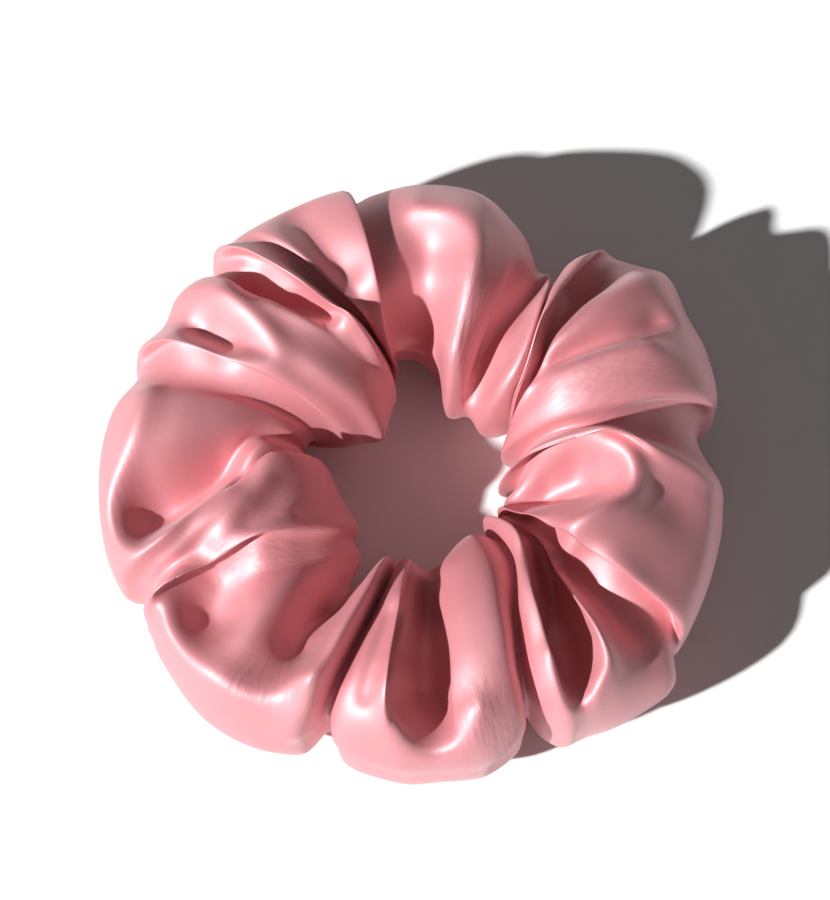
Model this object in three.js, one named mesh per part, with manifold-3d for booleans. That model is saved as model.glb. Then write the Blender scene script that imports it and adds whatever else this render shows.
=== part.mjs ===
// A satin hair scrunchie, lying on its underside: a sewn satin tube, gathered round a loop of flat elastic.
// Millimetres, +Z up. The origin is the middle of the footprint, on the surface that the ring lies on.
// The ring stretches along X, so each piece that runs right round it is drawn as a left and a right side,
// which part at the plane x = 0. The left side is held and the right side is pulled.
//
// The pieces, as they come apart:
//   satin cover      one strip sewn into a tube, with its seam allowances inside
//   elastic          one flat strip, its two ends lapped at the far left
//   lap stitches     the zigzag that joins the elastic's ends
//   long seam        the running stitches that make the strip a tube
//   end seam         the stitches that join the tube's two ends
//   closing stitches the edge stitches over the gap that the tube was turned and threaded through
import * as THREE from "three";
import { mergeVertices } from "three/addons/utils/BufferGeometryUtils.js";
import Module from "manifold-3d";

const wasm = await Module();
wasm.setup();

// Driving dimensions of the ring
const OUTER_DIAMETER = 112;
const HOLE_DIAMETER = 35;
const HEIGHT = 36;
const FLAT_SINK = 1; // how far the round underside is pressed flat by lying down
const GATHERS = 10; // puffs round the outside
const GATHER_DEPTH = 5; // how far the outline dips between two puffs
const STRETCH_GAP = 0.5; // between the left and right sides

// Satin. Its gathered folds fill the ring, from the outside to a channel that the elastic lies in.
const CHANNEL_RADIUS = 31.5; // ring's axis to the channel's centre
const CHANNEL_HALF_WIDTH = 5.2;
const PLIES = 1; // two layers of a seam allowance
const ALLOWANCE = 2; // how far a seam allowance stands into the channel
const RIDGE = 2.4; // how far the closed edge stands out of the ring

// Elastic
const ELASTIC_LOOP = 203; // length round the loop
const ELASTIC_WIDTH = 5;
const ELASTIC_THICKNESS = 1.2;
const LAP_LENGTH = 14;
const LAP_GAP = 0.3;

// Sewing
const THREAD = 0.5; // diameter
const THREAD_GAP = 0.3; // round a thread where it passes through cloth
const STITCH = 6; // from one needle hole to the next
const SEAM_PLACE = degrees(225); // round the tube: towards the hole and down
const LONG_SEAM_LEFT = [94, 176].map(degrees); // round the ring
const LONG_SEAM_RIGHT = [-86, 86].map(degrees);
const CLOSING_RANGE = [182, 262].map(degrees);
const END_SEAM_PLACE = degrees(128);

// Fineness
const RING_STEPS = 60;
const TUBE_STEPS = 16;
const CHANNEL_STEPS = 8;
const THREAD_SIDES = 6;
const STEPS_PER_STITCH = 5;

// Worked out from those
const TUBE_RADIUS = (OUTER_DIAMETER + HOLE_DIAMETER) / 4; // ring's axis to the tube's centre
const TUBE_HALF_WIDTH = (OUTER_DIAMETER - HOLE_DIAMETER) / 4;
const TUBE_HALF_HEIGHT = HEIGHT / 2 + FLAT_SINK;
const TUBE_CENTRE = HEIGHT - TUBE_HALF_HEIGHT;
const ELASTIC_RADIUS = ELASTIC_LOOP / (2 * Math.PI);
const LAP_PLACE = Math.PI;

function degrees(angle) {
  return THREE.MathUtils.degToRad(angle);
}

// Solids: a three.js geometry to manifold-3d, and back

function solidOf(geometry) {
  const bare = geometry.clone();
  bare.deleteAttribute("normal");
  bare.deleteAttribute("uv");
  const merged = mergeVertices(bare, 1e-4);
  return new wasm.Manifold(
    new wasm.Mesh({
      numProp: 3,
      vertProperties: merged.getAttribute("position").array,
      triVerts: new Uint32Array(merged.index.array),
    }),
  );
}

function geometryOf(solid) {
  const mesh = solid.getMesh();
  const geometry = new THREE.BufferGeometry();
  geometry.setAttribute("position", new THREE.BufferAttribute(mesh.vertProperties, 3));
  geometry.setIndex(new THREE.BufferAttribute(mesh.triVerts, 1));
  geometry.computeVertexNormals();
  return geometry;
}

// Outlines, in a plane through the ring's axis: x is the distance from the axis and y the height

// The tube's outside, pressed flat where it lies on its surface.
function tubePoint(place) {
  const height = TUBE_CENTRE + TUBE_HALF_HEIGHT * Math.sin(place);
  return new THREE.Vector2(TUBE_RADIUS + TUBE_HALF_WIDTH * Math.cos(place), Math.max(height, 0));
}

// The channel's wall, or a line inside it.
function channelPoint(place, inset = 0) {
  const reach = CHANNEL_HALF_WIDTH - inset;
  return new THREE.Vector2(CHANNEL_RADIUS + reach * Math.cos(place), TUBE_CENTRE + reach * Math.sin(place));
}

function closedOutline(pointAt, steps) {
  return Array.from({ length: steps + 1 }, (_, i) => pointAt((2 * Math.PI * (i % steps)) / steps));
}

function channelOutline(inset = 0) {
  return closedOutline((place) => channelPoint(place, inset), CHANNEL_STEPS);
}

function turned(outline) {
  return new THREE.LatheGeometry(outline, RING_STEPS).rotateX(Math.PI / 2);
}

// Draws the outside in between the puffs, and leaves the hole round.
function gathered(geometry) {
  const position = geometry.getAttribute("position");
  for (let i = 0; i < position.count; i++) {
    const turn = Math.atan2(position.getY(i), position.getX(i));
    const radius = Math.hypot(position.getX(i), position.getY(i));
    const outwards = Math.max((radius - TUBE_RADIUS) / TUBE_HALF_WIDTH, 0);
    const dip = (GATHER_DEPTH / 2) * (1 - Math.cos(GATHERS * turn)) * outwards;
    position.setXY(i, (radius - dip) * Math.cos(turn), (radius - dip) * Math.sin(turn));
  }
  return geometry;
}

// Seams: two plies that stand on a wall, and the thread that weaves through them

const SEAM_OUT = new THREE.Vector2(Math.cos(SEAM_PLACE), Math.sin(SEAM_PLACE));
const SEAM_ACROSS = new THREE.Vector2(-SEAM_OUT.y, SEAM_OUT.x);

function pliesOutline(root, from, to) {
  const half = PLIES / 2;
  const corners = [[from, -half], [to, -half], [to, half], [from, half], [from, -half]];
  return corners.map(([out, across]) => {
    return root.clone().addScaledVector(SEAM_OUT, out).addScaledVector(SEAM_ACROSS, across);
  });
}

class RunningStitches extends THREE.Curve {
  // place(share, across) gives the point at a share of the way along, and at a distance across the plies.
  constructor(place, stitches, swing = PLIES / 2 + THREAD_GAP + THREAD / 2) {
    super();
    Object.assign(this, { place, stitches, swing });
  }

  getPoint(share, target = new THREE.Vector3()) {
    return target.copy(this.place(share, this.swing * Math.cos(Math.PI * this.stitches * share)));
  }
}

// Stitches round part of the ring, at a distance out from a seam's root.
function seamStitches([from, to], root, out) {
  const line = root.clone().addScaledVector(SEAM_OUT, out);
  const place = (share, across) => {
    const turn = THREE.MathUtils.lerp(from, to, share);
    const point = line.clone().addScaledVector(SEAM_ACROSS, across);
    return new THREE.Vector3(point.x * Math.cos(turn), point.x * Math.sin(turn), point.y);
  };
  return new RunningStitches(place, Math.round(((to - from) * line.x) / STITCH));
}

function thread(curve, clearance = 0) {
  const radius = THREAD / 2 + clearance;
  const section = new THREE.Shape();
  for (let i = 0; i < THREAD_SIDES; i++) {
    const turn = (2 * Math.PI * i) / THREAD_SIDES;
    const move = i === 0 ? "moveTo" : "lineTo";
    section[move](radius * Math.cos(turn), radius * Math.sin(turn));
  }
  section.closePath();
  return new THREE.ExtrudeGeometry(section, { steps: STEPS_PER_STITCH * curve.stitches, extrudePath: curve });
}

// Makes room for a thread along its whole way through a solid.
function threaded(solid, curve) {
  return solid.subtract(solidOf(thread(curve, THREAD_GAP)));
}

const longSeamRoot = channelPoint(SEAM_PLACE);
const closingRoot = tubePoint(SEAM_PLACE);
const longSeamLeft = seamStitches(LONG_SEAM_LEFT, longSeamRoot, -ALLOWANCE / 2);
const longSeamRight = seamStitches(LONG_SEAM_RIGHT, longSeamRoot, -ALLOWANCE / 2);
const closingSeam = seamStitches(CLOSING_RANGE, closingRoot, RIDGE / 2);

// The end seam runs round the channel, in one plane through the ring's axis, from the long seam and back to it.

const END_SEAM_MARGIN = 0.12; // the share of its round that the long seam takes, on each side
const UP = new THREE.Vector3(0, 0, 1);

const endSeam = new RunningStitches((share, across) => {
  const round = THREE.MathUtils.lerp(END_SEAM_MARGIN, 1 - END_SEAM_MARGIN, share);
  const point = channelPoint(SEAM_PLACE + 2 * Math.PI * round, ALLOWANCE / 2);
  return new THREE.Vector3(point.x, -across, point.y).applyAxisAngle(UP, END_SEAM_PLACE);
}, 5);

function endSeamPlies() {
  const ring = new THREE.Shape(channelOutline(-PLIES).slice(0, -1));
  ring.holes.push(new THREE.Path(channelOutline(ALLOWANCE).slice(0, -1)));
  const plies = new THREE.ExtrudeGeometry(ring, { depth: PLIES, bevelEnabled: false });
  return plies.translate(0, 0, -PLIES / 2).rotateX(Math.PI / 2).rotateZ(END_SEAM_PLACE);
}

// The satin cover

// The block that holds one side of the ring: side is -1 for the left and 1 for the right.
function sideBlock(side) {
  const block = new THREE.BoxGeometry(OUTER_DIAMETER, 2 * OUTER_DIAMETER, 4 * HEIGHT);
  return block.translate((side * (OUTER_DIAMETER + STRETCH_GAP)) / 2, 0, 0);
}

// The wedge of space between two turns round the ring, less than half a turn apart.
function wedge([from, to]) {
  const slice = new THREE.Shape();
  slice.moveTo(0, 0);
  slice.absarc(0, 0, OUTER_DIAMETER, from, to, false);
  slice.closePath();
  return new THREE.ExtrudeGeometry(slice, { depth: HEIGHT, bevelEnabled: false });
}

function closedEdge() {
  const ridge = solidOf(turned(pliesOutline(closingRoot, -RIDGE, RIDGE)));
  return ridge.intersect(solidOf(wedge(CLOSING_RANGE)));
}

function cover(side) {
  const channel = solidOf(turned(channelOutline()));
  const allowance = solidOf(turned(pliesOutline(longSeamRoot, -ALLOWANCE, PLIES)));
  let folds = solidOf(gathered(turned(closedOutline(tubePoint, TUBE_STEPS)))).subtract(channel).add(allowance);
  let seams = [longSeamRight];
  if (side < 0) {
    folds = folds.add(closedEdge()).add(solidOf(endSeamPlies()));
    seams = [longSeamLeft, closingSeam, endSeam];
  }
  return geometryOf(seams.reduce(threaded, folds).intersect(solidOf(sideBlock(side))));
}

// The elastic: strips that stand on edge. lift(turn) is how far a strip stands off the loop's radius.

const LAP_TURN = LAP_LENGTH / ELASTIC_RADIUS; // the lap's length, as an angle
const LAP_LIFT = (ELASTIC_THICKNESS + LAP_GAP) / 2;
const PARTING_TURN = STRETCH_GAP / 2 / ELASTIC_RADIUS;
const STRIP_STEPS = 32;

function elasticStrip([from, to], lift = () => 0) {
  const edge = (offset) => {
    return Array.from({ length: STRIP_STEPS + 1 }, (_, i) => {
      const turn = THREE.MathUtils.lerp(from, to, i / STRIP_STEPS);
      const radius = ELASTIC_RADIUS + lift(turn) + offset;
      return new THREE.Vector2(radius * Math.cos(turn), radius * Math.sin(turn));
    });
  };
  const half = ELASTIC_THICKNESS / 2;
  const outline = new THREE.Shape([...edge(half), ...edge(-half).reverse()]);
  const strip = new THREE.ExtrudeGeometry(outline, { depth: ELASTIC_WIDTH, bevelEnabled: false });
  return strip.translate(0, 0, TUBE_CENTRE - ELASTIC_WIDTH / 2);
}

// A strip eases off the loop's radius over half a lap's length, before its end overlaps the other.
function lapLift(turn) {
  const away = Math.abs(turn - LAP_PLACE);
  return LAP_LIFT * (1 - THREE.MathUtils.smoothstep(away, LAP_TURN / 2, LAP_TURN));
}

const lapZigzag = new RunningStitches((share, across) => {
  const turn = LAP_PLACE + LAP_TURN * THREE.MathUtils.lerp(-0.4, 0.4, share);
  const radius = ELASTIC_RADIUS + across;
  const height = TUBE_CENTRE + 0.25 * ELASTIC_WIDTH * Math.sin(4 * Math.PI * share);
  return new THREE.Vector3(radius * Math.cos(turn), radius * Math.sin(turn), height);
}, 3, ELASTIC_THICKNESS + LAP_GAP / 2 + THREAD_GAP + THREAD / 2);

function lappedArm(range, layer) {
  return geometryOf(threaded(solidOf(elasticStrip(range, (turn) => layer * lapLift(turn))), lapZigzag));
}

const QUARTER = Math.PI / 2;
const backArm = [QUARTER + PARTING_TURN, LAP_PLACE + LAP_TURN / 2];
const frontArm = [LAP_PLACE - LAP_TURN / 2, 3 * QUARTER - PARTING_TURN];
const rightBend = [-QUARTER + PARTING_TURN, QUARTER - PARTING_TURN];

// The scrunchie

const satin = { color: 0xe8989f, roughness: 0.32, metalness: 0 };
const braid = { color: 0xf1ece6, roughness: 0.8, metalness: 0 };
const sewingThread = { color: 0xdd8d96, roughness: 0.55, metalness: 0 };

const scrunchie = new THREE.Group();

function add(name, geometry, finish) {
  const mesh = new THREE.Mesh(geometry, new THREE.MeshStandardMaterial(finish));
  mesh.name = name;
  scrunchie.add(mesh);
}

add("satin_cover_left", cover(-1), satin);
add("satin_cover_right", cover(1), satin);
add("elastic_back_arm", lappedArm(backArm, 1), braid);
add("elastic_front_arm", lappedArm(frontArm, -1), braid);
add("elastic_right", elasticStrip(rightBend), braid);
add("elastic_lap_stitches", thread(lapZigzag), sewingThread);
add("long_seam_stitches_left", thread(longSeamLeft), sewingThread);
add("long_seam_stitches_right", thread(longSeamRight), sewingThread);
add("end_seam_stitches", thread(endSeam), sewingThread);
add("closing_stitches", thread(closingSeam), sewingThread);

export default scrunchie;
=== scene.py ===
"""A satin hair scrunchie: builds its cover, elastic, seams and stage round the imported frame."""

import math

import bmesh
import bpy
import numpy as np
from bpy.props import FloatProperty, FloatVectorProperty, IntProperty, PointerProperty
from bpy.types import Operator, Panel, PropertyGroup
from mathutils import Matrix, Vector


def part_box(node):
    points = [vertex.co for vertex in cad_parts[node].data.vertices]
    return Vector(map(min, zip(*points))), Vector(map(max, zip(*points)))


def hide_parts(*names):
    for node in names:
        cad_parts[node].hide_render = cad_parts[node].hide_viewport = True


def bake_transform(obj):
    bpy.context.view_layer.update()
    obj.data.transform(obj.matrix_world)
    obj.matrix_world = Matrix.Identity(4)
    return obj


bl_info = {
    "name": "Satin Scrunchie",
    "version": (1, 0, 0),
    "blender": (4, 5, 0),
    "location": "View3D > Sidebar > Scrunchie",
    "description": "Builds a gathered satin scrunchie round its packed frame",
    "category": "Add Mesh",
}

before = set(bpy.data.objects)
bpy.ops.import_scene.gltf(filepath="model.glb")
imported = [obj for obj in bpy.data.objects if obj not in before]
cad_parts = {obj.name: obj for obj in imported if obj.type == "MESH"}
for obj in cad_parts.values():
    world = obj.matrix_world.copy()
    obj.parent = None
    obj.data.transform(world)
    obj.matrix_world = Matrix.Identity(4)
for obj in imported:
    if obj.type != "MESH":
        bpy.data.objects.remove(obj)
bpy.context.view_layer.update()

FLOOR_GAP = 0.0002  # what the satin keeps from the floor that it lies on
FLOOR_SQUASH = 0.0006  # the height over which the floor flattens it

# The elastic's loop inside the cover, from the frame
BRAID_LOW, BRAID_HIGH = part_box("elastic_right")
BRAID_THICKNESS = 0.0012
BRAID_RADIUS = BRAID_HIGH.x - BRAID_THICKNESS / 2
BRAID_HEIGHT = (BRAID_LOW.z + BRAID_HIGH.z) / 2
BRAID_CORDS = 5  # the ribs across its width
BRAID_STEPS = 260
LAP_GAP = 0.0001
LAP_ZIGZAGS = 9

END_SEAM_TURN = 145  # degrees round the ring, under a broad puff
END_SEAM_DEPTH = 0.0011  # how far inside the satin's face its stitches run
CLOSING_TURNS = (182, 262)
CLOSING_STITCHES = 22

# ---------------------------------------------------------------------------------------------------------
# The cover's folds
#
# A fold line runs over the ring from the hole to the outer rim, along a ridge, a crease or a lip. Its turns
# are degrees round the ring, and its reaches are shares of the tube's own half width, both given at the hole,
# halfway up its inner wall, on top, on the outer shoulder and at the rim. Between two lines the satin swings
# smoothly from one to the next. A lip also has tucks, the degrees by which the cloth goes back under it: more
# than 0 where that is after the lip, counted round the ring, and less than 0 where it is before.

LINE_PLACES = (180, 135, 95, 60, 30, 3)  # degrees round the tube: 0 is outwards and 90 is up
UNDER_PLACES = (-42, -90, -138)  # places on the underside, where the folds are shallower
SEAM_PLACE = 225 - 360  # the long seam: low on the hole's side
FULL_TUCK = 3  # degrees from which a tuck is a whole one
TUCK_DROP = 0.2  # how much less than its lip a tuck reaches

FOLD_LINES = (
    # right: a puff that curls over into a bowl on the hole's side
    ("hem", (-22, -27, -31.5, -32, -32.5, -33.5), (1.00, 1.02, 1.04, 1.12, 1.14, 1.08), (-2, -5, -6, -5, -3, -1)),
    ("tongue", (-19, -20, -20, -21, -22, -22), (0.96, 0.94, 0.98, 1.08, 1.12, 1.06)),
    ("bowl", (-14, -12, -8, -10, -11, -11), (0.96, 0.74, 0.72, 0.98, 1.06, 1.05)),
    ("curl", (-9, -2, 2.5, -1, -3, -3), (1.05, 1.06, 1.08, 1.04, 1.04, 1.02), (-4, -7, -3, 0, 0, 0)),
    ("crease", (10, 10, 8, 7, 7, 7), (0.78, 0.80, 0.72, 0.62, 0.70, 0.82)),
    # upper right: a tall face with a soft line across it
    ("edge", (13, 13, 12, 12, 11.5, 11), (1.00, 0.98, 0.98, 1.06, 1.10, 1.00), (0, 0, -1, -2, -2, -1)),
    ("front", (16, 18, 20, 20, 21, 22), (0.98, 1.02, 1.03, 1.10, 1.16, 1.13)),
    ("soft line", (20, 27, 30.5, 30, 30, 30.5), (0.93, 0.95, 0.95, 1.02, 1.14, 1.15)),
    ("back", (21, 29, 37, 38, 38, 38), (0.90, 0.96, 1.03, 1.12, 1.22, 1.22)),
    ("pocket", (22.5, 31, 43, 45.5, 45.5, 44), (0.80, 0.80, 0.58, 0.55, 0.85, 1.10)),
    ("pleat", (24, 33, 45.5, 48.5, 49, 49.5), (0.86, 0.98, 1.02, 1.05, 1.02, 0.95), (0, -1, -2, -3, -1, 0)),
    ("crease", (25.5, 34, 48, 52, 53, 53.5), (0.68, 0.70, 0.60, 0.52, 0.48, 0.47)),
    # top: a long crest that wraps round a pocket at the hole
    ("wrap", (32, 37, 48, 54, 56, 57), (1.06, 1.03, 0.94, 0.70, 0.50, 0.46)),
    ("pocket", (47, 52, 55, 56.5, 58, 61), (1.06, 0.76, 0.58, 0.52, 0.48, 0.49)),
    ("flank", (53, 59, 62, 64, 65, 66), (1.12, 0.92, 0.86, 0.82, 0.74, 0.68), (0, -3, -2, 0, 0, 0)),
    ("crest", (60, 68, 71, 73, 77, 81), (1.16, 1.10, 1.07, 1.08, 0.98, 0.88)),
    ("bowl", (76, 81, 84, 86, 88, 89), (0.78, 0.76, 0.80, 0.90, 0.98, 0.94)),
    ("foot", (88, 91, 94, 95.5, 97, 98.5), (0.62, 0.64, 0.80, 0.86, 0.90, 0.84)),
    # upper left, back: a puff with a rolled pleat at its foot
    ("edge", (96, 99, 100, 101, 102, 102.5), (0.82, 0.95, 1.02, 1.04, 0.98, 0.88), (-2, -4, -5, -4, -2, 0)),
    ("hollow", (96.5, 103, 109, 112, 113, 113), (0.76, 0.86, 0.93, 0.92, 0.98, 0.93)),
    ("brim", (98, 104.5, 115, 120.5, 123.5, 125), (0.70, 0.80, 0.97, 1.00, 0.97, 0.88), (0, 2, 2, 1, 0, 0)),
    ("crease", (100, 107, 118.5, 124.5, 127, 128.5), (0.62, 0.60, 0.84, 0.96, 0.96, 0.87)),
    ("roll", (98, 108, 122.5, 128.5, 131, 132), (1.08, 1.05, 1.07, 1.08, 1.00, 0.86), (0, 0, 2, 3, 1, 0)),
    ("pocket", (104, 115, 127, 132.5, 134, 135), (1.22, 1.02, 0.62, 0.56, 0.80, 0.74)),
    # upper left: a puff whose tip hangs over the hole
    ("lip", (111, 121, 131, 135.5, 137.5, 138.5), (1.34, 1.12, 0.98, 0.98, 0.88, 0.74), (0, 0, -2, -2, 0, 0)),
    ("crest", (122, 136, 139, 141, 143, 144), (1.42, 1.21, 1.04, 1.04, 0.94, 0.78)),
    ("hollow", (135, 144, 148, 149, 149, 149), (1.33, 1.15, 0.92, 0.86, 0.86, 0.78)),
    ("apron", (147, 151, 154, 155, 156, 157), (1.22, 1.10, 1.02, 1.04, 0.96, 0.88), (1, 2, 3, 3, 2, 0)),
    ("crease", (155, 158, 160, 161, 161, 161), (0.92, 0.76, 0.78, 0.82, 0.84, 0.80)),
    # left: a smooth face that ends in a spoon
    ("upper face", (159, 161, 165, 168, 169, 170), (0.88, 0.82, 0.90, 1.02, 1.00, 0.88)),
    ("face", (162, 165, 174, 179, 181, 183), (0.86, 0.82, 0.92, 1.06, 1.06, 0.94)),
    ("spoon", (165, 169, 186, 191, 194, 195), (0.82, 0.70, 0.62, 0.68, 1.06, 1.00)),
    ("spoon's rim", (168, 174, 193, 201, 202.5, 203), (0.90, 0.86, 0.92, 1.04, 1.04, 0.94)),
    ("inner edge", (172, 177, 196, 203, 204, 204), (1.08, 1.02, 0.95, 0.88, 0.84, 0.80), (-3, -4, 0, 0, 0, 0)),
    ("inner crown", (185, 187, 200, 204.5, 205, 205), (1.19, 1.08, 0.98, 0.86, 0.80, 0.74)),
    ("inner dent", (198, 197, 203, 205.5, 206, 206), (1.22, 1.05, 0.94, 0.82, 0.76, 0.70)),
    ("inner bump", (213, 207, 206, 206.6, 207, 207), (1.24, 1.06, 0.95, 0.86, 0.78, 0.72)),
    # lower left: a round puff, dented twice, under a band from the hole
    ("band", (228, 217, 211, 210, 210, 210), (1.20, 1.05, 1.02, 1.04, 1.00, 0.88), (1, 2, 4, 3, 1, 0)),
    ("hollow", (237, 225, 218, 217, 217, 217), (1.05, 0.76, 0.68, 0.74, 0.98, 0.96)),
    ("middle", (240, 232, 229, 229.5, 230, 231), (1.00, 0.78, 0.84, 0.96, 1.08, 1.06)),
    ("pocket", (244, 241, 239.5, 240, 242, 243), (0.66, 0.46, 0.58, 0.72, 1.00, 1.00)),
    # front: two pleats, a deep pocket and a broad crest
    ("pleat", (258.5, 256, 251.5, 249.5, 248.5, 249), (1.07, 1.07, 1.05, 1.05, 0.98, 0.82)),
    ("groove", (263, 259.3, 255, 252.8, 252.3, 253), (1.00, 0.80, 0.68, 0.64, 0.58, 0.53)),
    ("apron", (266.5, 262, 258, 256, 256, 257.5), (1.05, 1.00, 0.96, 0.98, 0.94, 0.76)),
    ("pleat", (272, 268.5, 266, 265, 267, 269.5), (1.05, 1.05, 1.05, 1.07, 1.07, 0.95), (0, 2, 3, 2, 0, 0)),
    ("pocket", (280, 276, 273.5, 273.5, 275, 276.5), (0.96, 0.62, 0.42, 0.44, 1.05, 0.96)),
    ("lip", (290, 281.5, 281, 279.5, 280.5, 281), (0.98, 0.92, 0.92, 0.98, 1.07, 0.98), (0, -2, -3, -2, 0, 0)),
    ("crest", (307, 297, 289, 285.5, 285.5, 284.5), (1.08, 1.06, 1.03, 1.07, 1.08, 0.97)),
    ("back", (316, 307, 297, 293, 292.5, 292), (1.05, 1.02, 1.00, 1.00, 0.94, 0.80)),
    ("crease", (322, 314.5, 302, 297, 296, 296), (0.88, 0.74, 0.66, 0.62, 0.58, 0.53)),
    ("side", (325, 319, 304.5, 299.3, 297.8, 297.5), (1.00, 1.00, 1.00, 1.00, 0.94, 0.78)),
    # lower right: a thin pleat and a ridge that meet round a leaf-shaped pocket
    ("pleat", (328.5, 325, 309, 302.5, 300, 299.5), (1.08, 1.08, 1.07, 1.09, 1.09, 1.00), (0, 3, 3, 2, 0, 0)),
    ("pocket", (331, 327.5, 315, 307, 304.5, 303.5), (0.90, 0.62, 0.36, 0.38, 1.08, 1.04)),
    ("ridge", (332.5, 329, 319.5, 314.5, 310.5, 308), (0.94, 0.74, 0.84, 1.02, 1.15, 1.12), (0, 0, -2, -2, 0, 0)),
    ("back", (333.5, 330, 322.5, 318.5, 316, 314), (0.94, 0.68, 0.66, 0.84, 1.10, 1.20)),
    ("shadowed bowl", (335, 331, 325, 323, 321.5, 320.5), (0.95, 0.66, 0.54, 0.68, 1.00, 1.25)),
)


# Strokes press the satin on top down or lift it, as a thumb would: the path's points are degrees round the
# ring and millimetres from its axis, then come the widths to the path's left and right and the lift, in mm.
STROKES = (
    ("hook", ((350, 17.5), (359, 21), (3, 28), (2, 34.5), (356, 39), (348, 39.5), (340, 36), (331, 32)), (2.6, 2.6), 4.0),
    ("hook's bowl", ((342, 21), (349, 26), (354, 30)), (3.6, 3.6), -6.0),
    ("hook's outer slope", ((334, 48), (343, 50), (352, 48)), (6, 6), -2.5),
    ("shadowed bowl", ((326, 29), (324, 34), (321, 45), (321, 51)), (3.5, 3.5), -2.5),
    ("ridge", ((320, 35), (316, 43), (314, 47), (311, 52), (306, 54)), (2, 2), 2.0),
    ("right leaf pocket", ((320, 30), (314, 40), (306.5, 48)), (3, 3), -4.0),
    ("right leaf lip", ((303, 45), (300.5, 50), (301, 54), (305, 55), (309, 52)), (2, 2), 2.5),
    ("front pocket", ((278, 24), (277, 32), (276, 40), (277, 45)), (3.4, 3.4), -3.2),
    ("front pocket's lip", ((267, 40), (266, 46), (268, 51), (274, 54), (281, 53), (284, 49)), (3.0, 3.0), 2.2),
    ("inner wall", ((84, 25), (92, 24)), (5, 5), -6.0),
    ("top crest", ((57, 15), (64, 18), (71, 24.5), (71, 33), (73, 40), (80, 45), (88, 47)), (3, 3), 2.5),
    ("top bowl", ((84, 28), (84, 38)), (5, 5), -3.0),
    ("top pocket", ((50, 18.5), (57, 24), (58, 29), (56, 36), (54, 43)), (1.6, 2.4), -3.5),
    ("strip", ((36, 19), (38, 25), (44, 32), (49, 38)), (2.6, 2.6), 2.5),
    ("soft line", ((34, 27), (31, 38), (29, 46), (30, 51)), (1.3, 2.6), -3.2),
    ("soft line's lip", ((29, 29), (26, 38), (24, 46)), (2, 3), 2.4),
    ("tall face", ((20, 28), (20, 38), (22, 48)), (5, 5), 1.5),
    ("back hollow", ((114, 50), (113, 43), (109, 36)), (3.5, 3.5), -2.2),
    ("roll", ((107, 22), (116, 27), (122, 32.5), (128, 40), (130.5, 46)), (2.8, 2.8), 2.8),
    ("roll's pocket", ((119, 29), (128, 35), (133, 42)), (1.8, 1.8), -3.0),
    ("roll's hook", ((116, 25.5), (120, 27), (127, 31), (132, 36)), (2.0, 2.0), 1.8),
    ("tip's crest", ((152, 47), (151, 36), (147, 29), (141, 33), (139, 44)), (2.8, 2.8), 2.2),
    ("tip's hollow", ((149, 38), (148.5, 43)), (3, 3), -3.0),
    ("tip", ((112, 14), (136, 17), (146, 24)), (5, 5), 2.0),
    ("spoon's rim", ((193, 33), (201, 42), (203, 50), (198, 54), (190, 54), (181, 50), (168, 48)), (3, 3), 2.5),
    ("spoon's bowl", ((186, 32), (192, 41), (192.5, 46)), (4.5, 4.5), -5.5),
    ("inner wrinkle", ((206, 37), (201, 31), (195, 26)), (2.2, 2.2), 1.8),
    ("inner dent", ((206, 31), (200, 25)), (2.0, 2.0), -1.6),
    ("second wrinkle", ((211, 31), (210, 24)), (2.4, 2.4), 1.4),
    ("left dent", ((213, 40), (219, 44)), (5.5, 5.5), -5.5),
    ("right dent", ((242, 27), (241, 38)), (4, 4), -5.0),
    ("dark eye", ((242, 17), (241, 21.5)), (2.8, 2.8), -8.0),
    ("first pleat", ((261, 18), (254, 29), (250.3, 38), (248, 45)), (2, 2), 1.8),
    ("groove", ((262, 20), (258.3, 30), (255, 38), (251.8, 46)), (1.3, 1.3), -2.5),
    ("pleat's valley", ((264, 30), (262, 38), (261, 45)), (1.8, 1.8), -1.8),
    ("second pleat", ((275, 20), (270, 29), (267, 38), (265.5, 45), (268, 50)), (1.6, 1.6), 2.2),
    ("puff's rim", ((212, 52), (224, 54), (237, 52), (246, 46)), (3.5, 3.5), 2.5),
)


# Where the satin is finely crinkled: paths and widths as for the strokes
CRINKLES = (
    ("tall face", ((18, 34), (20, 46), (28, 54)), (9, 6)),
    ("band", ((236, 22), (218, 29), (211, 40)), (4, 4)),
    ("inner puff", ((212, 22), (206, 30)), (6, 6)),
    ("puff's rim", ((236, 50), (246, 47)), (6, 5)),
    ("front crest", ((282, 46), (286, 52)), (6, 6)),
    ("top crest", ((66, 20), (71, 34)), (4, 4)),
)


def settings():
    """The scrunchie's sizes and colours, as the panel shows them."""
    return bpy.context.scene.scrunchie


# ---------------------------------------------------------------------------------------------------------
# Curves through points, in numpy


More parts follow.
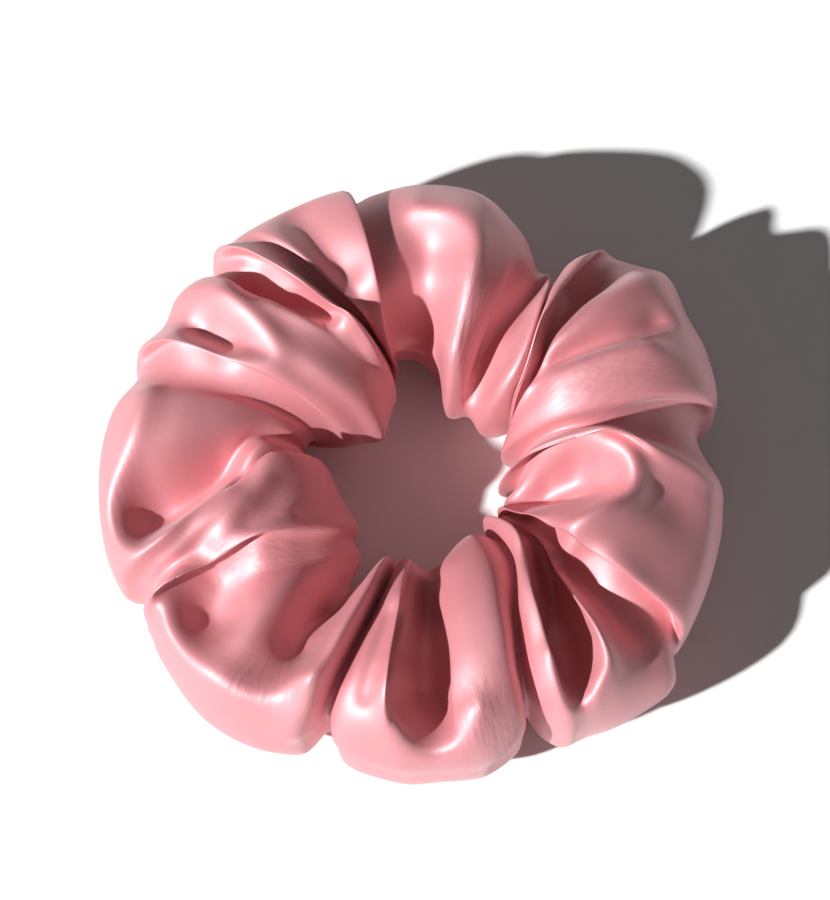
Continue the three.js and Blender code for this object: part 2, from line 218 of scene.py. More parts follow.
def loop_spline(points, per_span):
    """Closed centripetal Catmull-Rom curves through points, an array (points, curves, axes)."""
    before, start, end, after = (np.roll(points, shift, axis=0) for shift in (1, 0, -1, -2))

    def knot_step(a, b):
        return np.maximum(np.linalg.norm(b - a, axis=-1, keepdims=True), 1e-9) ** 0.5

    t0 = np.zeros(start.shape[:-1] + (1,))
    t1 = t0 + knot_step(before, start)
    t2 = t1 + knot_step(start, end)
    t3 = t2 + knot_step(end, after)
    pieces = []
    for i in range(per_span):
        t = t1 + (t2 - t1) * i / per_span
        a1 = (before * (t1 - t) + start * (t - t0)) / (t1 - t0)
        a2 = (start * (t2 - t) + end * (t - t1)) / (t2 - t1)
        a3 = (end * (t3 - t) + after * (t - t2)) / (t3 - t2)
        b1 = (a1 * (t2 - t) + a2 * (t - t0)) / (t2 - t0)
        b2 = (a2 * (t3 - t) + a3 * (t - t1)) / (t3 - t1)
        pieces.append((b1 * (t2 - t) + b2 * (t - t1)) / (t2 - t1))
    return np.stack(pieces, axis=1).reshape((-1,) + points.shape[1:])


def cyclic_values(places, values, at):
    """Smooth cyclic interpolation of values, (lines, places), at angles in degrees: monotone between places."""
    order = np.argsort(places)
    x = np.array(places, float)[order]
    y = np.array(values, float)[:, order]
    x = np.concatenate([x[-2:] - 360, x, x[:2] + 360])
    y = np.concatenate([y[:, -2:], y, y[:, :2]], axis=1)
    step = np.diff(x)
    slope = np.diff(y, axis=1) / step
    same_way = slope[:, :-1] * slope[:, 1:] > 0
    weight = 2 * step[1:] + step[:-1], step[1:] + 2 * step[:-1]
    with np.errstate(divide="ignore", invalid="ignore"):
        mean = (weight[0] + weight[1]) / (weight[0] / slope[:, :-1] + weight[1] / slope[:, 1:])
    tangent = np.zeros_like(y)
    tangent[:, 1:-1] = np.where(same_way, mean, 0)
    at = (np.asarray(at, float) - x[2]) % 360 + x[2]
    i = np.clip(np.searchsorted(x, at, side="right") - 1, 0, len(x) - 2)
    t = (at - x[i]) / step[i]
    return (
        y[:, i] * (1 + 2 * t) * (1 - t) ** 2
        + y[:, i + 1] * t * t * (3 - 2 * t)
        + step[i] * (tangent[:, i] * t * (1 - t) ** 2 - tangent[:, i + 1] * t * t * (1 - t))
    )


def resampled(loop, count, measure):
    """A closed curve's points (points, curves, axes), spread anew so that measure, its length so far, is even."""
    closed = np.concatenate([loop, loop[:1]])
    at = np.linspace(0, measure[-1], count, endpoint=False)
    i = np.clip(np.searchsorted(measure, at, side="right") - 1, 0, len(loop) - 1)
    t = ((at - measure[i]) / (measure[i + 1] - measure[i])).reshape((-1,) + (1,) * (loop.ndim - 1))
    return closed[i] * (1 - t) + closed[i + 1] * t


ALLOWANCE_ROWS = 3  # the mesh's rows in each seam allowance
MAP_SCALE = 10  # a map's units in a metre
THREAD_STEPS = 5  # the mesh's steps between two points of a thread
THREAD_SIDES = 7


# ---------------------------------------------------------------------------------------------------------
# The satin cover


def line_table():
    """Every line's turns and reaches, (lines, places) each, with a further line inside each tuck."""
    turns, reaches = [], []
    for i, (name, line_turns, line_reaches, *tucks) in enumerate(FOLD_LINES):
        line = np.array([line_turns, line_reaches], float)
        if not tucks:
            turns.append(line[0])
            reaches.append(line[1])
            continue
        tuck = np.array(tucks[0], float)
        after = tuck.sum() > 0
        near = FOLD_LINES[(i + 1 if after else i - 1) % len(FOLD_LINES)]
        near = np.array([near[1], near[2]], float)
        near[0] = line[0] + (near[0] - line[0] + 180) % 360 - 180
        whole = np.minimum(np.abs(tuck) / FULL_TUCK, 1)
        under = np.array([line[0] - tuck, line[1] - TUCK_DROP])
        inside = (line + near) / 2 * (1 - whole) + under * whole
        pair = (line, inside) if after else (inside, line)
        turns += [pair[0][0], pair[1][0]]
        reaches += [pair[0][1], pair[1][1]]
    return np.array(turns), np.array(reaches)


def row_places(rows):
    """Degrees round the tube of each row, from the long seam on. Rows lie closer together on top."""
    even = SEAM_PLACE + np.arange(rows) * 360 / rows
    return even + np.degrees(settings().top_density * np.cos(np.radians(even)))


def fold_points(rows):
    """Where each fold line lies at each row round the tube: an array (lines, rows, 3)."""
    s = settings()
    turns, reaches = line_table()
    rim, top, inner = turns[:, -1], turns[:, 2], turns[:, 1]
    under_turns = np.stack([rim, (rim + top) / 2, inner], axis=1)
    under_reaches = 1 - s.underside_depth * (1 - reaches[:, [4, 2, 1]])
    places = np.array(LINE_PLACES + UNDER_PLACES, float)
    at = row_places(rows)
    turn = np.radians(cyclic_values(places, np.hstack([turns, under_turns]), at))
    reach = cyclic_values(places, np.hstack([reaches, under_reaches]), at)
    round_tube = np.radians(at)
    radius = s.tube_radius + s.tube_half_width * reach * np.cos(round_tube)
    height = s.tube_centre + s.tube_half_height * reach * np.sin(round_tube)
    return np.stack([radius * np.cos(turn), radius * np.sin(turn), height], axis=2)


def stroke_path(points):
    """A stroke's path in metres, from degrees round the ring and millimetres from its axis."""
    turn, radius = np.radians([point[0] for point in points]), np.array([point[1] for point in points]) / 1000
    corners = np.stack([radius * np.cos(turn), radius * np.sin(turn)], axis=1)
    ends = np.concatenate([2 * corners[:1] - corners[1:2], corners, 2 * corners[-1:] - corners[-2:-1]])
    steps = np.arange(6) / 6
    path = []
    for before, start, end, after in zip(ends, ends[1:], ends[2:], ends[3:]):
        for t in steps:
            path.append((2 * start + (end - before) * t + (2 * before - 5 * start + 4 * end - after) * t ** 2
                         + (3 * start - before - 3 * end + after) * t ** 3) / 2)
    return np.array(path + [corners[-1]])


def stroke_shape(plan, points, widths):
    """How strongly a stroke acts at each point of plan, (..., 2): 1 on its path, fading over its widths."""
    path = stroke_path(points)
    nearest = np.full(plan.shape[:-1], np.inf)
    width = np.full(plan.shape[:-1], widths[0] / 1000)
    for start, end in zip(path, path[1:]):
        along = end - start
        share = np.clip((plan - start) @ along / (along @ along), 0, 1)
        away = plan - start - share[..., None] * along
        distance = np.hypot(away[..., 0], away[..., 1])
        right = along[0] * away[..., 1] - along[1] * away[..., 0] < 0
        closer = distance < nearest
        nearest = np.where(closer, distance, nearest)
        width = np.where(closer, np.where(right, widths[1], widths[0]) / 1000, width)
    return np.exp(-((nearest / width) ** 2))


def stroked(grid):
    """The grid with every stroke made on its upper half."""
    lift = np.zeros(grid.shape[:2])
    for name, points, widths, height in STROKES:
        lift += height / 1000 * stroke_shape(grid[:, :, :2], points, widths)
    upper = np.clip(np.sin(np.radians(row_places(grid.shape[1]))) * 1.6, 0, 1)
    grid = grid.copy()
    grid[:, :, 2] += lift * upper
    return grid


def cover_grid(columns, rows):
    """The folded satin as a grid of points, (columns, rows, 3): columns run round the ring, rows round the tube."""
    fine = loop_spline(fold_points(rows), 14)
    steps = np.linalg.norm(np.roll(fine, -1, axis=0) - fine, axis=2).mean(axis=1)
    measure = np.concatenate([[0], np.cumsum(steps)])
    return resampled(fine, columns, measure)


def smoothed(grid, rounds, strength=0.5):
    """The grid with each point drawn towards its four neighbours, so many rounds."""
    for _ in range(rounds):
        near = sum(np.roll(grid, shift, axis) for shift in (1, -1) for axis in (0, 1)) / 4
        grid = grid + strength * (near - grid)
    return grid


def above_floor(height):
    """Heights with what would sink into the floor flattened on it, each layer still above the one below."""
    limit = FLOOR_GAP + FLOOR_SQUASH
    squashed = FLOOR_GAP + FLOOR_SQUASH * np.exp((np.minimum(height, limit) - limit) / FLOOR_SQUASH)
    return np.where(height < limit, squashed, height)


def outwards(grid):
    """The grid's unit normals, which point out of the tube."""
    along = np.roll(grid, -1, axis=0) - np.roll(grid, 1, axis=0)
    across = np.roll(grid, -1, axis=1) - np.roll(grid, 1, axis=1)
    normal = np.cross(along, across)
    return normal / np.linalg.norm(normal, axis=2, keepdims=True)


def running_stitch(line, aside, length):
    """Points of a stitch that weaves from side to side along a closed line."""
    steps = np.linalg.norm(np.roll(line, -1, axis=0) - line, axis=1)
    measure = np.concatenate([[0], np.cumsum(steps)])
    count = int(measure[-1] / length) // 2 * 2
    even = resampled(line, count, measure)
    across = resampled(aside, count, measure)
    sides = np.where(np.arange(count) % 2, 1, -1)[:, None]
    return even + across * sides


def sewn_sheet(grid):
    """The tube of cloth as the open sheet that it is: its two long edges meet at the seam and turn inside."""
    s = settings()
    seam = grid[:, :1]
    centre = seam.copy()
    ring = seam[:, :, :2] / np.linalg.norm(seam[:, :, :2], axis=2, keepdims=True)
    centre[:, :, :2] = ring * s.tube_radius
    centre[:, :, 2] = s.tube_centre
    inwards = (centre - seam) / np.linalg.norm(centre - seam, axis=2, keepdims=True)
    sideways = grid[:, 1:2] - grid[:, -1:]
    sideways = sideways / np.linalg.norm(sideways, axis=2, keepdims=True) * s.cloth_thickness
    depths = np.linspace(s.seam_allowance, 0, ALLOWANCE_ROWS + 1)
    first = np.concatenate([seam + inwards * depth + sideways * (1 + 0.5 * (depth > 0)) for depth in depths], axis=1)
    last = np.concatenate([seam + inwards * depth - sideways * (1 + 0.5 * (depth > 0)) for depth in depths[::-1]],
                          axis=1)
    return np.concatenate([first, grid[:, 1:], last], axis=1)


def sheet_mesh(name, sheet, crinkle):
    """A mesh of the sheet that closes round the ring, with its faces out and a map of the flat cloth in metres."""
    s = settings()
    columns, rows = sheet.shape[:2]
    i, j = (index.ravel() for index in np.meshgrid(np.arange(columns), np.arange(rows - 1), indexing="ij"))
    after = (i + 1) % columns
    faces = np.stack([i * rows + j, after * rows + j, after * rows + j + 1, i * rows + j + 1], axis=1)
    mesh = bpy.data.meshes.new(name)
    mesh.from_pydata(sheet.reshape(-1, 3).tolist(), [], faces.tolist())
    u, v = s.cut_length / columns * MAP_SCALE, s.cut_width / (rows - 1) * MAP_SCALE
    corners = np.stack([i * u, j * v, (i + 1) * u, j * v, (i + 1) * u, (j + 1) * v, i * u, (j + 1) * v], axis=1)
    layer = mesh.uv_layers.new(name="flat_cloth")
    layer.data.foreach_set("uv", corners.ravel().astype(np.float32))
    mask = mesh.attributes.new("crinkle", "FLOAT", "POINT")
    mask.data.foreach_set("value", crinkle.ravel().astype(np.float32))
    mesh.polygons.foreach_set("use_smooth", np.ones(len(mesh.polygons), bool))
    mesh.update()
    return mesh


def crinkled(sheet):
    """How finely crinkled the satin is at each of the sheet's points, from 0 to 1."""
    mask = np.zeros(sheet.shape[:2])
    for name, points, widths in CRINKLES:
        mask = np.maximum(mask, stroke_shape(sheet[:, :, :2], points, widths))
    return mask


def swept(name, centres, sides, ups, profile, closed):
    """A bar along centres whose section has the profile's points, as lengths along sides and ups, in metres."""
    profile = np.array(profile)
    rings = (centres[:, None] + sides[:, None] * profile[None, :, :1] + ups[:, None] * profile[None, :, 1:])
    steps, points = rings.shape[:2]
    mesh = bpy.data.meshes.new(name)
    faces, corners = [], []
    lengths = np.concatenate([[0], np.cumsum(np.linalg.norm(np.diff(centres, axis=0), axis=1))]) * MAP_SCALE
    edges = np.linalg.norm(np.diff(profile, axis=0, append=profile[:1]), axis=1)
    widths = np.concatenate([[0], np.cumsum(edges)]) * MAP_SCALE
    for i in range(steps if closed else steps - 1):
        after = (i + 1) % steps
        end = lengths[i + 1] if i + 1 < steps else lengths[i] + lengths[1]
        for j in range(points):
            beside = (j + 1) % points
            faces.append((i * points + j, i * points + beside, after * points + beside, after * points + j))
            corners += [(lengths[i], widths[j]), (lengths[i], widths[j + 1]), (end, widths[j + 1]), (end, widths[j])]
    if not closed:
        for ring, turned in ((0, True), (steps - 1, False)):
            loop = [ring * points + j for j in range(points)]
            faces.append(tuple(loop[::-1] if turned else loop))
            corners += [(lengths[ring] + p[1] * MAP_SCALE, p[0] * MAP_SCALE) for p in
                        (profile[::-1] if turned else profile)]
    mesh.from_pydata(rings.reshape(-1, 3).tolist(), [], faces)
    layer = mesh.uv_layers.new(name="along")
    layer.data.foreach_set("uv", np.array(corners, np.float32).ravel())
    mesh.polygons.foreach_set("use_smooth", np.ones(len(mesh.polygons), bool))
    mesh.update()
    made = bmesh.new()
    made.from_mesh(mesh)
    bmesh.ops.recalc_face_normals(made, faces=made.faces)
    made.to_mesh(mesh)
    made.free()
    return mesh


def thread_mesh(name, points, radius, closed=False):
    """A round thread along points, eased into a smooth curve."""
    points = np.array(points)
    if not closed:
        points = np.concatenate([2 * points[:1] - points[1:2], points, 2 * points[-1:] - points[-2:-1]])
    curve = loop_spline(points[:, None], THREAD_STEPS)[:, 0]
    if not closed:
        curve = curve[THREAD_STEPS:-2 * THREAD_STEPS + 1]
    ahead = np.gradient(curve, axis=0)
    ahead /= np.linalg.norm(ahead, axis=1, keepdims=True)
    side = np.cross(ahead, [0.0, 0.0, 1.0]) + 1e-6
    side /= np.linalg.norm(side, axis=1, keepdims=True)
    up = np.cross(side, ahead)
    ring = [(radius * math.cos(a), radius * math.sin(a)) for a in np.arange(THREAD_SIDES) * math.tau / THREAD_SIDES]
    return swept(name, curve, side, up, ring, closed)


def new_object(name, mesh):
    thing = bpy.data.objects.new(name, mesh)
    bpy.context.scene.collection.objects.link(thing)
    return thing


def pick(*things):
    bpy.ops.object.select_all(action="DESELECT")
    for thing in things:
        thing.select_set(True)
    bpy.context.view_layer.objects.active = things[0]


# ---------------------------------------------------------------------------------------------------------
# Materials


def material(name, map_name):
    """A new material, its nodes and links, its shader, and the map that its patterns follow."""
    made = bpy.data.materials.new(name)
    made.use_nodes = True
    nodes = made.node_tree.nodes
    place = nodes.new("ShaderNodeUVMap")
    place.uv_map = map_name
    return made, nodes, made.node_tree.links, nodes["Principled BSDF"], place.outputs["UV"]


def effect(name, inputs, outputs):
    """A new shader node group with the named inputs and outputs."""
    tree = bpy.data.node_groups.new(name, "ShaderNodeTree")
    for label, kind, value in inputs:
        socket = tree.interface.new_socket(label, in_out="INPUT", socket_type=kind)
        if kind == "NodeSocketFloat":
            socket.default_value = value
    for label in outputs:
        tree.interface.new_socket(label, in_out="OUTPUT", socket_type="NodeSocketFloat")
    return tree, tree.nodes.new("NodeGroupInput"), tree.nodes.new("NodeGroupOutput")


def maths(nodes, links, operation, first, second):
    node = nodes.new("ShaderNodeMath")
    node.operation = operation
    for socket, value in zip(node.inputs, (first, second)):
        if isinstance(value, (int, float)):
            socket.default_value = value
        else:
            links.new(value, socket)
    return node.outputs["Value"]


def stretched_noise(tree, place, along, across, detail):
    """Noise that is stretched along the cloth: along and across are its cells in one unit of the map."""
    nodes, links = tree.nodes, tree.links
    parts = nodes.new("ShaderNodeSeparateXYZ")
    joined = nodes.new("ShaderNodeCombineXYZ")
    noise = nodes.new("ShaderNodeTexNoise")
    links.new(place, parts.inputs[0])
    links.new(maths(nodes, links, "MULTIPLY", parts.outputs["X"], along), joined.inputs["X"])
    links.new(maths(nodes, links, "MULTIPLY", parts.outputs["Y"], across), joined.inputs["Y"])
    links.new(joined.outputs[0], noise.inputs["Vector"])
    noise.inputs["Scale"].default_value = 1
    noise.inputs["Detail"].default_value = detail
    return noise.outputs["Fac"]


def yarn_effect():
    """Fine yarns that run along the map: a height, and a shade that varies from yarn to yarn."""
    tree, given, result = effect("yarn", (("Place", "NodeSocketVector", None), ("Along", "NodeSocketFloat", 60),
                                          ("Across", "NodeSocketFloat", 400), ("Slant", "NodeSocketFloat", 0)),
                                 ("Height", "Shade"))
    nodes, links = tree.nodes, tree.links
    parts = nodes.new("ShaderNodeSeparateXYZ")
    joined = nodes.new("ShaderNodeCombineXYZ")
    links.new(given.outputs["Place"], parts.inputs[0])
    slanted = maths(nodes, links, "MULTIPLY", parts.outputs["X"], given.outputs["Slant"])
    links.new(parts.outputs["X"], joined.inputs["X"])
    links.new(maths(nodes, links, "ADD", parts.outputs["Y"], slanted), joined.inputs["Y"])
    fine = stretched_noise(tree, joined.outputs[0], given.outputs["Along"], given.outputs["Across"], 1)
    slow = stretched_noise(tree, joined.outputs[0], 8, 30, 2)
    links.new(fine, result.inputs["Height"])
    links.new(maths(nodes, links, "ADD", maths(nodes, links, "MULTIPLY", fine, 0.4),
                    maths(nodes, links, "MULTIPLY", slow, 0.6)), result.inputs["Shade"])
    return tree


def crinkle_effect():
    """Fine creases across the map where the mask asks for them, and slow dents everywhere."""
    tree, given, result = effect("crinkle", (("Place", "NodeSocketVector", None), ("Mask", "NodeSocketFloat", 0),
                                             ("Along", "NodeSocketFloat", 70), ("Across", "NodeSocketFloat", 22)),
                                 ("Height",))
    nodes, links = tree.nodes, tree.links
    creases = stretched_noise(tree, given.outputs["Place"], given.outputs["Along"], given.outputs["Across"], 2)
    dents = stretched_noise(tree, given.outputs["Place"], 9, 7, 1)
    masked = maths(nodes, links, "MULTIPLY", creases, given.outputs["Mask"])
    links.new(maths(nodes, links, "ADD", masked, maths(nodes, links, "MULTIPLY", dents, 0.35)),
              result.inputs["Height"])
    return tree


def placed(nodes, links, tree, place, **values):
    """An effect's node in a material, with its own values."""
    node = nodes.new("ShaderNodeGroup")
    node.node_tree = tree
    links.new(place, node.inputs["Place"])
    for label, value in values.items():
        node.inputs[label].default_value = value
    return node


def bump(nodes, links, height, distance, strength, before=None):
    node = nodes.new("ShaderNodeBump")
    node.inputs["Distance"].default_value = distance
    node.inputs["Strength"].default_value = strength
    links.new(height, node.inputs["Height"])
    if before is not None:
        links.new(before, node.inputs["Normal"])
    return node.outputs["Normal"]


def mottled(nodes, links, shade, colour, depth):
    """The colour, a little deeper where the shade is low."""
    ramp = nodes.new("ShaderNodeMix")
    ramp.data_type = "RGBA"
    links.new(shade, ramp.inputs["Factor"])
    ramp.inputs[6].default_value = (*(channel * depth for channel in colour), 1)
    ramp.inputs[7].default_value = (*colour, 1)
    return ramp.outputs[2]


def satin_material(yarn, crinkle):
    s = settings()
    made, nodes, links, shader, place = material("rose_satin", "flat_cloth")
    shader.inputs["Metallic"].default_value = 0.2
    shader.inputs["Anisotropic"].default_value = 0.4
    shader.inputs["IOR"].default_value = 2.4
    shader.inputs["Sheen Weight"].default_value = 0.15
    shader.inputs["Sheen Roughness"].default_value = 0.4
    floats = placed(nodes, links, yarn, place, Along=45, Across=380, Slant=0.0)
    folds = placed(nodes, links, crinkle, place, Along=75, Across=22)
    mask = nodes.new("ShaderNodeAttribute")
    mask.attribute_name = "crinkle"
    links.new(mask.outputs["Fac"], folds.inputs["Mask"])
    links.new(mottled(nodes, links, floats.outputs["Shade"], s.satin_colour, 0.86), shader.inputs["Base Color"])
    gloss = maths(nodes, links, "ADD", maths(nodes, links, "MULTIPLY", floats.outputs["Shade"], 0.12), s.satin_roughness)
    links.new(gloss, shader.inputs["Roughness"])
    soft = bump(nodes, links, folds.outputs["Height"], 0.0003, 0.7)
    links.new(bump(nodes, links, floats.outputs["Height"], 0.00002, 0.35, soft), shader.inputs["Normal"])
    return made


def elastic_material(yarn, crinkle):
    s = settings()
    made, nodes, links, shader, place = material("braided_elastic", "along")
    shader.inputs["Roughness"].default_value = 0.85
    shader.inputs["Sheen Weight"].default_value = 0.2
    plaits = placed(nodes, links, yarn, place, Along=90, Across=90, Slant=1.0)
    puckers = placed(nodes, links, crinkle, place, Mask=1.0, Along=60, Across=8)
    links.new(mottled(nodes, links, plaits.outputs["Shade"], s.elastic_colour, 0.7), shader.inputs["Base Color"])
    soft = bump(nodes, links, puckers.outputs["Height"], 0.0005, 0.7)
    links.new(bump(nodes, links, plaits.outputs["Height"], 0.0003, 0.8, soft), shader.inputs["Normal"])
    return made


def thread_material(yarn):
    s = settings()
    made, nodes, links, shader, place = material("sewing_thread", "along")
    shader.inputs["Roughness"].default_value = 0.5
    shader.inputs["Sheen Weight"].default_value = 0.3
    plies = placed(nodes, links, yarn, place, Along=30, Across=260, Slant=0.8)
    links.new(mottled(nodes, links, plies.outputs["Shade"], s.thread_colour, 0.7), shader.inputs["Base Color"])
    links.new(bump(nodes, links, plies.outputs["Height"], 0.0001, 0.8), shader.inputs["Normal"])
    return made


# ---------------------------------------------------------------------------------------------------------
# Settings


class ScrunchieSettings(PropertyGroup):
    tube_radius: FloatProperty(name="Tube radius", description="From the ring's axis to the middle of its tube",
                               default=0.0365, unit="LENGTH", precision=4)
    tube_half_width: FloatProperty(name="Half width", description="Half of the tube's width",
                                   default=0.0195, unit="LENGTH", precision=4)
    tube_half_height: FloatProperty(name="Half height", description="Half of the tube's height",
                                    default=0.0185, unit="LENGTH", precision=4)
    tube_centre: FloatProperty(name="Tube centre", description="Height of the tube's middle",
                               default=0.0175, unit="LENGTH", precision=4)
    underside_depth: FloatProperty(name="Underside depth", description="Depth of the folds underneath, as a share",
                                   default=0.75, subtype="FACTOR")
    top_density: FloatProperty(name="Top density", description="How much closer the mesh's rows are on top",
                               default=0.3, subtype="FACTOR")
    cut_length: FloatProperty(name="Cut length", description="Length of the satin before it was gathered",
                              default=0.46, unit="LENGTH", precision=3)
    cut_width: FloatProperty(name="Cut width", description="Width of the satin with its two seam allowances",
                             default=0.122, unit="LENGTH", precision=3)
    seam_allowance: FloatProperty(name="Seam allowance", description="Cloth turned inside along the long seam",
                                  default=0.006, unit="LENGTH", precision=3)
    thread_radius: FloatProperty(name="Thread radius", description="Half of a sewing thread's thickness",
                                 default=0.00025, unit="LENGTH", precision=5)
    stitch_length: FloatProperty(name="Stitch length", description="Length of a machine stitch",
                                 default=0.0025, unit="LENGTH", precision=4)
    lap_length: FloatProperty(name="Lap", description="Length over which the elastic's two ends lie on each other",
                              default=0.014, unit="LENGTH", precision=3)
    cloth_thickness: FloatProperty(name="Thickness", description="Thickness of the satin",
                                   default=0.0003, unit="LENGTH", precision=5)
    columns: IntProperty(name="Columns", description="Steps of the cover's mesh round the ring", default=540)
    rows: IntProperty(name="Rows", description="Steps of the cover's mesh round the tube", default=84)
    satin_colour: FloatVectorProperty(name="Satin", description="Colour of the satin", subtype="COLOR",
                                      size=3, default=(0.74, 0.265, 0.295))
    satin_roughness: FloatProperty(name="Satin roughness", description="How far the satin spreads a highlight",
                                   default=0.53, subtype="FACTOR")
    elastic_colour: FloatVectorProperty(name="Elastic", description="Colour of the braided elastic",
                                        subtype="COLOR", size=3, default=(0.82, 0.8, 0.76))
    thread_colour: FloatVectorProperty(name="Thread", description="Colour of the sewing thread", subtype="COLOR",
                                       size=3, default=(0.6, 0.16, 0.19))


# ---------------------------------------------------------------------------------------------------------
# Operators


def across_the_joint(piece, slot, *nodes):
    """Bakes a piece's transform into its mesh and hides the plain solids that it takes the place of."""
    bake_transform(piece)
    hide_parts(*nodes)


def folded_tube():
    """The satin tube's folds, (columns, rows, 3), before its edges turn inside."""
    s = settings()
    grid = smoothed(stroked(cover_grid(s.columns, s.rows)), 2)
    grid[:, :, 2] = above_floor(grid[:, :, 2])
    return grid


def column_at(grid, turn, row):
    """The column whose point in that row is nearest to a turn in degrees."""
    turns = np.degrees(np.arctan2(grid[:, row, 1], grid[:, row, 0]))
    return int(np.argmin(np.abs((turns - turn + 180) % 360 - 180)))


class SCRUNCHIE_OT_finishes(Operator):
    """Makes the satin, the elastic and the thread"""

    bl_idname = "scrunchie.finishes"
    bl_label = "Finishes"

    def execute(self, context):
        yarn, crinkle = yarn_effect(), crinkle_effect()
        satin_material(yarn, crinkle)
        elastic_material(yarn, crinkle)
        thread_material(yarn)
        return {"FINISHED"}


class SCRUNCHIE_OT_cover(Operator):
    """Gathers the satin tube into its folds"""

    bl_idname = "scrunchie.cover"
    bl_label = "Satin cover"

    def execute(self, context):
        s = settings()
        sheet = sewn_sheet(folded_tube())
        cover = new_object("satin_cover", sheet_mesh("satin_cover", sheet, crinkled(sheet)))
        cover.data.materials.append(bpy.data.materials["rose_satin"])
        wall = cover.modifiers.new("wall", "SOLIDIFY")
        wall.thickness = s.cloth_thickness
        wall.offset = -1
        pick(cover)
        bpy.ops.object.modifier_apply(modifier=wall.name)
        for vertex in cover.data.vertices:
            vertex.co.z = float(above_floor(vertex.co.z))
        across_the_joint(cover, "satin", "satin_cover_left", "satin_cover_right")
        return {"FINISHED"}


class SCRUNCHIE_OT_elastic(Operator):
    """Laps the braided elastic into its loop"""

    bl_idname = "scrunchie.elastic"
    bl_label = "Braided elastic"

    def execute(self, context):
        s = settings()
        lap = math.degrees(s.lap_length / BRAID_RADIUS)
        turn = np.linspace(-180 - lap / 2, 180 + lap / 2, BRAID_STEPS)
        rise = np.clip((np.abs(turn) - (180 - 2 * lap)) / lap, 0, 1)
        shift = np.sign(turn) * rise * rise * (3 - 2 * rise) * (BRAID_THICKNESS / 2 + LAP_GAP)
        angle = np.radians(turn)
        out = np.stack([np.cos(angle), np.sin(angle), np.zeros(BRAID_STEPS)], axis=1)
        centres = out * (BRAID_RADIUS + shift)[:, None] + [0, 0, BRAID_HEIGHT]
        ups = np.tile([0.0, 0.0, 1.0], (BRAID_STEPS, 1))
        half = (BRAID_HIGH.z - BRAID_LOW.z) / 2
        profile = []
        for face in (1, -1):
            for share in np.linspace(-1, 1, BRAID_CORDS * 4 + 1):
                rib = 0.82 + 0.18 * abs(math.sin(math.pi * BRAID_CORDS * (share + 1) / 2))
                round_edge = math.sqrt(max(1 - abs(share) ** 8, 0.02))
                profile.append((face * BRAID_THICKNESS / 2 * rib * round_edge, face * share * half))
        braid = new_object("braided_elastic", swept("braided_elastic", centres, out, ups, profile, False))
        braid.data.materials.append(bpy.data.materials["braided_elastic"])
        across_the_joint(braid, "elastic", "elastic_back_arm", "elastic_front_arm", "elastic_right")
        return {"FINISHED"}


class SCRUNCHIE_OT_lap_stitches(Operator):
    """Sews the elastic's lap with a zigzag on each face"""

    bl_idname = "scrunchie.lap_stitches"
    bl_label = "Lap stitches"

    def execute(self, context):
        s = settings()
        reach = math.degrees(s.lap_length / BRAID_RADIUS) * 0.36
        away = BRAID_THICKNESS + LAP_GAP + s.thread_radius
        swing = (BRAID_HIGH.z - BRAID_LOW.z) * 0.32
        points = []
        for face in (1, -1):
            for i, turn in enumerate(np.linspace(180 - reach * face, 180 + reach * face, LAP_ZIGZAGS)):
                radius = BRAID_RADIUS + face * away
                height = BRAID_HEIGHT + (swing if i % 2 else -swing)
                angle = math.radians(turn)
                points.append((radius * math.cos(angle), radius * math.sin(angle), height))
        stitches = new_object("lap_stitches", thread_mesh("lap_stitches", points, s.thread_radius, closed=True))
        stitches.data.materials.append(bpy.data.materials["sewing_thread"])
        across_the_joint(stitches, "thread", "elastic_lap_stitches")
        return {"FINISHED"}


class SCRUNCHIE_OT_seams(Operator):
    """Runs the machine stitches through the long seam's allowances and round the end seam"""

    bl_idname = "scrunchie.seams"
    bl_label = "Long seam and end seam"

    def execute(self, context):
        s = settings()
        grid = folded_tube()
        seam = sewn_sheet(grid)
        inner, wall = seam[:, ALLOWANCE_ROWS - 1], seam[:, ALLOWANCE_ROWS]
        other = seam[:, -ALLOWANCE_ROWS]
        middle = ((inner + other) / 2) * 0.6 + wall * 0.4
        aside = (inner - other) / np.linalg.norm(inner - other, axis=1, keepdims=True)
        aside = aside * (s.cloth_thickness * 2.5 + s.thread_radius)
        points = running_stitch(middle, aside, s.stitch_length)
        long_seam = new_object("long_seam_stitches", thread_mesh("long_seam_stitches", points, s.thread_radius,
                                                                 closed=True))
        long_seam.data.materials.append(bpy.data.materials["sewing_thread"])
        across_the_joint(long_seam, "thread", "long_seam_stitches_left", "long_seam_stitches_right")
        top = int(np.argmin(np.abs(row_places(s.rows) - 90)))
        column = column_at(grid, END_SEAM_TURN, top)
        inside = -outwards(grid)[column]
        line = grid[column] + inside * END_SEAM_DEPTH
        points = running_stitch(line, inside * s.thread_radius * 2, s.stitch_length)
        end_seam = new_object("end_seam_stitches", thread_mesh("end_seam_stitches", points, s.thread_radius,
                                                               closed=True))
        end_seam.data.materials.append(bpy.data.materials["sewing_thread"])
        across_the_joint(end_seam, "thread", "end_seam_stitches")
        return {"FINISHED"}


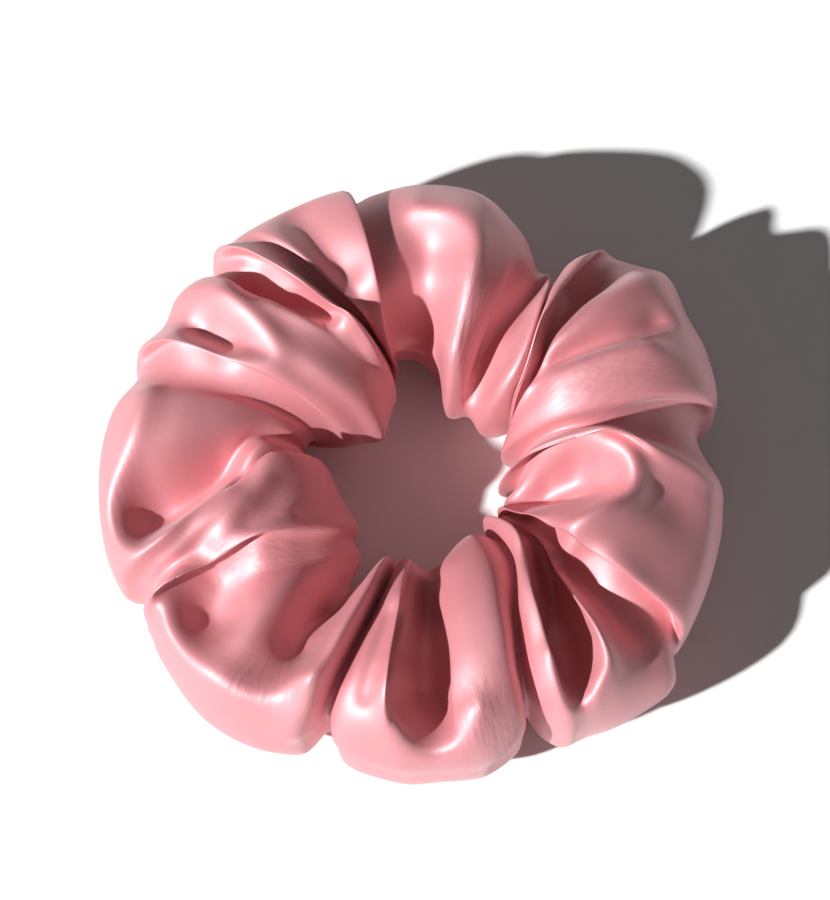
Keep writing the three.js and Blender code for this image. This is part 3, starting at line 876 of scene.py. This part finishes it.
class SCRUNCHIE_OT_closing_stitches(Operator):
    """Closes the turning gap by hand, with slanted stitches over the seam"""

    bl_idname = "scrunchie.closing_stitches"
    bl_label = "Closing stitches"

    def execute(self, context):
        s = settings()
        grid = folded_tube()
        out = outwards(grid)
        first, last = (column_at(grid, turn, 0) for turn in CLOSING_TURNS)
        points = []
        for i, column in enumerate(np.linspace(first, last, CLOSING_STITCHES * 2 + 1).astype(int)):
            row = 1 if i % 2 else -1
            point = grid[column, row] + out[column, row] * s.thread_radius * 1.6
            point[2] = max(point[2], s.thread_radius * 1.5)
            points.append(point)
        stitches = new_object("closing_stitches", thread_mesh("closing_stitches", points, s.thread_radius))
        stitches.data.materials.append(bpy.data.materials["sewing_thread"])
        across_the_joint(stitches, "thread", "closing_stitches")
        return {"FINISHED"}


class SCRUNCHIE_OT_stage(Operator):
    """Lays the floor and sets the lights and the camera"""

    bl_idname = "scrunchie.stage"
    bl_label = "Stage"

    def execute(self, context):
        bpy.ops.object.select_all(action="DESELECT")
        bpy.ops.mesh.primitive_plane_add(size=6, location=(0, 0, 0))
        floor = context.object
        floor.name = "floor"
        made = bpy.data.materials.new("floor")
        made.use_nodes = True
        shader = made.node_tree.nodes["Principled BSDF"]
        shader.inputs["Base Color"].default_value = (0.9, 0.9, 0.9, 1)
        shader.inputs["Roughness"].default_value = 0.9
        floor.data.materials.append(made)
        bpy.ops.object.light_add(type="SUN")
        sun = context.object
        sun.data.energy = 5.5
        sun.data.angle = math.radians(2)
        azimuth, elevation = math.radians(211), math.radians(37)
        towards = Vector((math.cos(azimuth) * math.cos(elevation), math.sin(azimuth) * math.cos(elevation),
                          math.sin(elevation)))
        sun.rotation_euler = towards.to_track_quat("Z", "Y").to_euler()
        world = bpy.data.worlds.new("studio")
        context.scene.world = world
        world.use_nodes = True
        world.node_tree.nodes["Background"].inputs["Color"].default_value = (1, 1, 1, 1)
        world.node_tree.nodes["Background"].inputs["Strength"].default_value = 0.11
        camera = bpy.data.objects.new("camera", bpy.data.cameras.new("camera"))
        context.scene.collection.objects.link(camera)
        context.scene.camera = camera
        context.scene.view_settings.view_transform = "Standard"
        elevation = math.radians(72)
        distance = 0.62
        aim = Vector((0.0011, 0.0054, 0.017))
        back = Vector((0, -math.cos(elevation), math.sin(elevation)))
        camera.location = aim + back * distance
        camera.rotation_euler = back.to_track_quat("Z", "Y").to_euler()
        camera.data.sensor_width = 36
        camera.data.lens = 36 * distance / 0.1625
        camera.data.clip_start = 0.01
        return {"FINISHED"}


class SCRUNCHIE_PT_panel(Panel):
    """Lists the scrunchie's pieces and its sizes"""

    bl_label = "Scrunchie"
    bl_idname = "SCRUNCHIE_PT_panel"
    bl_space_type = "VIEW_3D"
    bl_region_type = "UI"
    bl_category = "Scrunchie"

    def draw(self, context):
        for step in STEPS:
            self.layout.operator(step.bl_idname)
        for name in ScrunchieSettings.__annotations__:
            self.layout.prop(context.scene.scrunchie, name)


STEPS = (
    SCRUNCHIE_OT_finishes,
    SCRUNCHIE_OT_cover,
    SCRUNCHIE_OT_elastic,
    SCRUNCHIE_OT_lap_stitches,
    SCRUNCHIE_OT_seams,
    SCRUNCHIE_OT_closing_stitches,
    SCRUNCHIE_OT_stage,
)
CLASSES = (ScrunchieSettings, *STEPS, SCRUNCHIE_PT_panel)


def register():
    for made in CLASSES:
        bpy.utils.register_class(made)
    bpy.types.Scene.scrunchie = PointerProperty(type=ScrunchieSettings)


def unregister():
    del bpy.types.Scene.scrunchie
    for made in reversed(CLASSES):
        bpy.utils.unregister_class(made)


def main():
    register()
    bpy.ops.scrunchie.finishes()
    bpy.ops.scrunchie.cover()
    bpy.ops.scrunchie.elastic()
    bpy.ops.scrunchie.lap_stitches()
    bpy.ops.scrunchie.seams()
    bpy.ops.scrunchie.closing_stitches()
    bpy.ops.scrunchie.stage()


if __name__ == "__main__":
    main()
